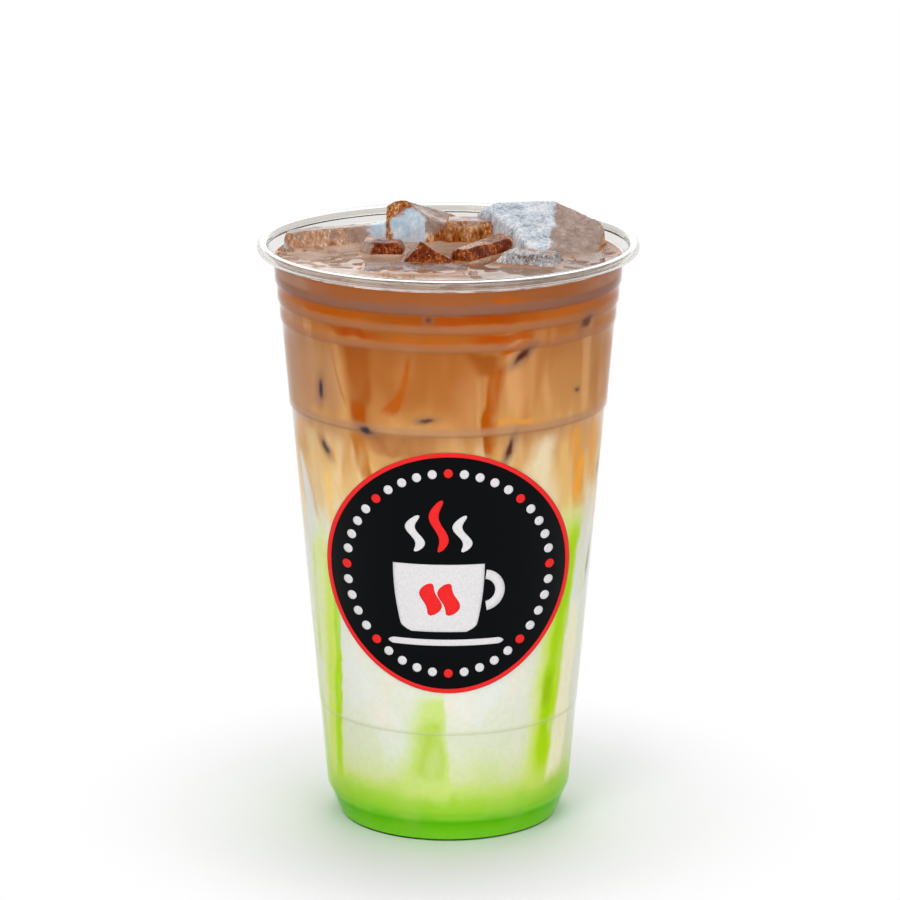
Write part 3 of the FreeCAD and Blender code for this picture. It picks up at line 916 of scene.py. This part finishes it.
def badge():
    """A plain round badge: a steaming cup inside a ring of dots."""
    ground, white, red = Print(0.02 * MM), Print(0.06 * MM), Print(0.10 * MM)
    ground.ring(0.01, BADGE_RADIUS, rows=24)
    red.ring(BADGE_RADIUS - 1.1, BADGE_RADIUS)
    for dot in range(DOTS):
        turn = 2 * math.pi * dot / DOTS
        place = (DOT_CIRCLE * math.sin(turn), DOT_CIRCLE * math.cos(turn))
        (white if dot % 5 else red).ring(0.01, DOT_RADIUS, place, columns=16)

    def cup_side(share):
        return 11.6 - 2.4 * (1 - share) ** 2 - 2.2 * max(0.0, 1 - share / 0.12) ** 2
    white.ribbon(-15.0, 2.4, lambda s: -2.4, cup_side, columns=24)
    white.ring(2.9, 5.3, (9.0, -4.4), 8, 172, columns=48)
    white.ribbon(-18.6, -17.0, lambda s: -0.6, lambda s: 14.6 - 1.2 * (2 * s - 1) ** 2, rows=6, columns=30)
    for aside in (-4.5, 0.1):
        red.ribbon(-10.8, -2.4, lambda s: aside + 0.9 * math.sin(2 * math.pi * s), lambda s: oval(s, 2.2, 2))
    for ink, aside, top in ((white, -8.4, 15.0), (red, -2.4, 19.0), (white, 3.6, 15.0)):
        ink.ribbon(5.6, top, lambda s: aside + 1.3 * math.sin(2.2 * math.pi * s), lambda s: oval(s, 1.25, 4),
                   rows=40)
    ground.piece("badge_ground", ink_material("black_ink", (6, 8, 10)))
    white.piece("badge_white", ink_material("white_ink", (232, 229, 230)))
    red.piece("badge_red", ink_material("red_ink", (246, 44, 44)))


def tree_of(obj):
    mesh = obj.data
    return BVHTree.FromPolygons([v.co for v in mesh.vertices], [p.vertices for p in mesh.polygons])


# -------- build

cup_piece(plastic_material("wall_plastic", (0.985, 0.99, 1.0, 1.0), IOR=1.12),
          plastic_material("rim_plastic", (0.80, 0.785, 0.76, 1.0), IOR=1.30))
blocks = [ice_piece(node) for node in sorted(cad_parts) if node.startswith("ice_")]
trees = [tree_of(block) for block in blocks]
drink_layer("syrup", "syrup_layer")
drink_layer("milk", "milk_layer")
drink_layer("latte", "latte_layer")
edge, bubbles = coffee_piece([drink_material("coffee_side", "coffee_layer"), surface_material()], trees)
froth_piece(blocks, trees, edge, bubbles)
badge()


# -------- studio

# Round lamps, as: name, place, width, power, colour
LAMPS = [
    ("key", (-0.55, -1.05, 0.85), 0.7, 5.3, (1, 0.98, 0.95)),
    ("fill", (0.65, -1, 0.45), 0.8, 2.9, (1, 1, 1)),
    ("back", (0, 1.6, 0.75), 1.3, 4.2, (0.93, 0.97, 1)),
    ("top", (0.1, 0.5, 1.3), 0.8, 3.8, (1, 1, 1)),
]
LAMP_TARGET = Vector((0, 0, 0.09))
FLOOR_HALF = 3.0
FLOOR_FADE = (0.036, 0.105)  # the floor turns from lit to plain white this far from the axis


def area_light(name, place, width, power, colour):
    lamp = bpy.data.lights.new(name, "AREA")
    lamp.shape = "DISK"
    lamp.size = width
    lamp.energy = power
    lamp.color = colour
    made = new_object(name, lamp)
    made.location = place
    made.rotation_euler = (LAMP_TARGET - Vector(place)).to_track_quat("-Z", "Y").to_euler()


def shown_to_eye(graph):
    """A share that is 1 for rays from the camera, straight, reflected or let through, and 0 for the light."""
    path = graph.node("LightPath").outputs
    passed = graph.maths("MAXIMUM", path["Is Transmission Ray"], path["Is Glossy Ray"])
    return graph.maths("MAXIMUM", path["Is Camera Ray"], passed)


def lay_floor():
    """A matt floor that catches the cup's soft shadow, and fades into the white background round it."""
    graph = material("floor", Roughness=0.9, Base_Color=linear(248, 248, 248))
    away = graph.node("VectorMath", graph.place(), operation="LENGTH").outputs["Value"]
    share = graph.times(shown_to_eye(graph), graph.remap(away, *FLOOR_FADE))
    white = graph.node("Emission", (1.0, 1.0, 1.0, 1.0), 1.0).outputs[0]
    both = graph.node("MixShader", share, graph.shader.outputs[0], white).outputs[0]
    graph.feed(graph.tree.nodes["Material Output"].inputs["Surface"], both)
    corners = [(x * FLOOR_HALF, y * FLOOR_HALF, 0) for x, y in ((-1, -1), (1, -1), (1, 1), (-1, 1))]
    floor = mesh_object("floor", corners, [(0, 1, 2, 3)], [graph.material], smooth=False)


def background():
    """White to the eye, and a soft grey light on everything."""
    world = bpy.data.worlds.new("studio")
    bpy.context.scene.world = world
    world.use_nodes = True
    graph = Graph(world.node_tree)
    back = world.node_tree.nodes["Background"]
    colour = graph.mix(shown_to_eye(graph), (0.50, 0.51, 0.53, 1.0), (1.0, 1.0, 1.0, 1.0))
    graph.feed(back.inputs["Color"], colour)
    back.inputs["Strength"].default_value = 1.0


def camera():
    """The camera looks down at the cup by 14.8 degrees, through a long lens."""
    lens = bpy.data.cameras.new("camera")
    lens.lens = 178.8
    lens.sensor_width = 36.0
    lens.shift_x = 0.0019
    lens.clip_end = 20.0
    made = new_object("camera", lens)
    made.location = (0.0, -1.1216, 0.3931)
    made.rotation_euler = (math.radians(90 - 14.777), 0.0, 0.0)
    bpy.context.scene.camera = made


lay_floor()
background()
for lamp in LAMPS:
    area_light(*lamp)
camera()
bpy.context.scene.view_settings.view_transform = "Standard"
